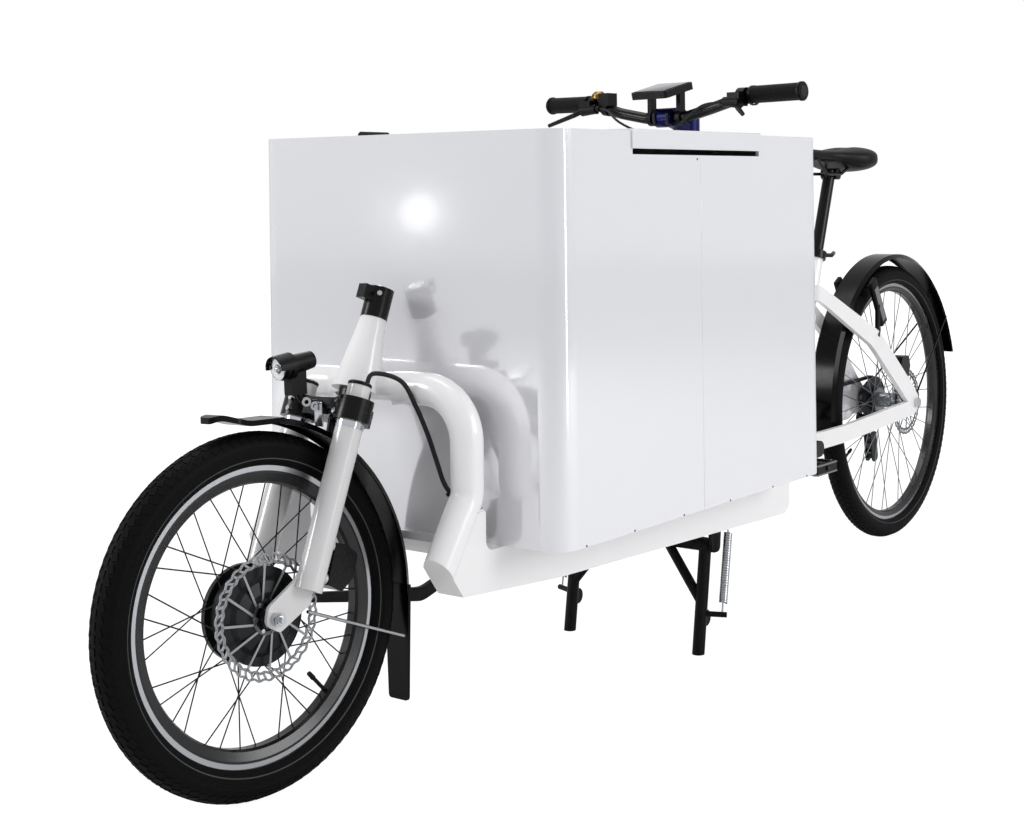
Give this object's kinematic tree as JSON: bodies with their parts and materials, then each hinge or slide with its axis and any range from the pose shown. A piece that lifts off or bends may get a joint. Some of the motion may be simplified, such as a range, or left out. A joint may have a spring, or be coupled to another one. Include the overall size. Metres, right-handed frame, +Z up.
{
  "type": "cargo bike",
  "caption": "Two-wheeled cargo bike with a closed white load box between a small steered front wheel and the rider, parked on its centre stand.",
  "frame": {"origin": "on the ground, under the middle of the bike's overall box", "axes": "+Z up, -Y the way the bike faces, +X the rider's left"},
  "size_m": [0.6375, 2.7199, 1.063],
  "materials": {
    "white_paint": "gloss",
    "white_panel": "gloss",
    "black_paint": "satin",
    "black_guard": "gloss",
    "tyre_rubber": "matte",
    "rim_alloy": "machined band",
    "hub_black": "satin",
    "disc_steel": "ground",
    "bright_steel": "bright",
    "dark_steel": "oiled",
    "black_alloy": "anodised",
    "blue_alloy": "anodised",
    "black_plastic": "moulded",
    "grip_rubber": "moulded",
    "saddle_cover": "padded",
    "bell_brass": "polished",
    "cable_sleeve": "woven"
  },
  "bodies": {
    "frame": {"box_front": "white_panel", "box_rear": "white_panel", "box_floor": "white_panel", "hinge_brackets": "black_paint", "head_frame": "white_paint", "rails": "white_paint", "front_cover": "white_panel", "cross_members": "white_paint", "stand_brackets": "black_paint", "column_tube": "white_paint", "main_beam": "white_paint", "seat_tube": "white_paint", "top_tube": "white_paint", "rear_stays": "white_paint", "rear_axle": "bright_steel", "seat_clamp": "black_alloy", "seatpost": "black_alloy", "saddle": "saddle_cover", "saddle_rails": "dark_steel", "rear_guard": "black_guard", "rear_caliper": "black_alloy", "gear_mech": "black_alloy", "chain": "dark_steel", "chain_guard": "white_panel", "ring_lock": "black_plastic", "front_cable": "cable_sleeve"},
    "lid": {"lid": "white_panel", "lid_hinges": "black_paint"},
    "fork": {"fork_legs": "white_paint", "front_axle": "bright_steel", "fork_crown": "black_alloy", "steerer_clamp": "black_alloy", "front_guard": "black_guard", "lamp": "black_plastic", "front_caliper": "black_alloy", "fork_arm": "black_paint"},
    "front_wheel": {"front_tyre": "tyre_rubber", "front_rim": "rim_alloy", "front_hub": "hub_black", "front_disc": "disc_steel"},
    "rear_wheel": {"rear_tyre": "tyre_rubber", "rear_rim": "rim_alloy", "rear_hub": "hub_black", "rear_disc": "disc_steel", "cassette": "dark_steel"},
    "handlebar": {"steering_shaft": "black_paint", "stem": "blue_alloy", "handlebar": "black_alloy", "grips": "grip_rubber", "brake_levers": "black_alloy", "display": "black_plastic", "thumb_control": "black_plastic", "bell": "bell_brass"},
    "tie_rod": {"tie_rod": "black_paint"},
    "stand": {"stand": "black_paint", "stand_springs": "bright_steel"},
    "crank": {"crankset": "black_alloy"},
    "pedal_left": {"pedal_left": "black_plastic"},
    "pedal_right": {"pedal_right": "black_plastic"}
  },
  "joints": [
    {"name": "steering", "type": "hinge", "parent": "frame", "child": "fork", "pos_m": [0, -1.0256, 0.22679], "axis": [0, 0.3746, 0.9272], "range_deg": [-16.4, 31.6], "deforming": ["front_cable"]},
    {"name": "bar_turn", "type": "hinge", "parent": "frame", "child": "handlebar", "pos_m": [0, 0.09217, 0.6], "axis": [0, 0, 1], "range_deg": [-15.41, 29.5]},
    {"name": "rod_eye", "type": "hinge", "parent": "handlebar", "child": "tie_rod", "pos_m": [-0.12902, 0.10812, 0.246], "axis": [0.0469, -0.0058, 0.9989], "range_deg": [-29.5, 15.41]},
    {"name": "front_wheel_spin", "type": "hinge", "parent": "fork", "child": "front_wheel", "pos_m": [-0.01102, -1.10215, 0.25773], "axis": [0.9912, -0.1226, 0.0495], "continuous": true},
    {"name": "rear_wheel_spin", "type": "hinge", "parent": "frame", "child": "rear_wheel", "pos_m": [0, 1.01117, 0.329], "axis": [1, 0, 0], "continuous": true},
    {"name": "crank_spin", "type": "hinge", "parent": "frame", "child": "crank", "pos_m": [0, 0.48217, 0.288], "axis": [1, 0, 0], "continuous": true},
    {"name": "pedal_left_spin", "type": "hinge", "parent": "crank", "child": "pedal_left", "pos_m": [0.15, 0.3144, 0.27921], "axis": [1, 0, 0], "continuous": true},
    {"name": "pedal_right_spin", "type": "hinge", "parent": "crank", "child": "pedal_right", "pos_m": [-0.15, 0.64994, 0.29679], "axis": [1, 0, 0], "continuous": true},
    {"name": "lid_open", "type": "hinge", "parent": "frame", "child": "lid", "pos_m": [-0.298, -0.39133, 0.955], "axis": [0, -1, 0], "range_deg": [0, 105]},
    {"name": "stand_fold", "type": "hinge", "parent": "frame", "child": "stand", "pos_m": [0, -0.10683, 0.196], "axis": [1, 0, 0], "range_deg": [0, 95], "deforming": ["stand_springs"]}
  ],
  "couplings": [
    {"joint": "bar_turn", "follows": "steering", "ratio": 0.92718},
    {"joint": "rod_eye", "follows": "steering", "ratio": -0.92718}
  ]
}
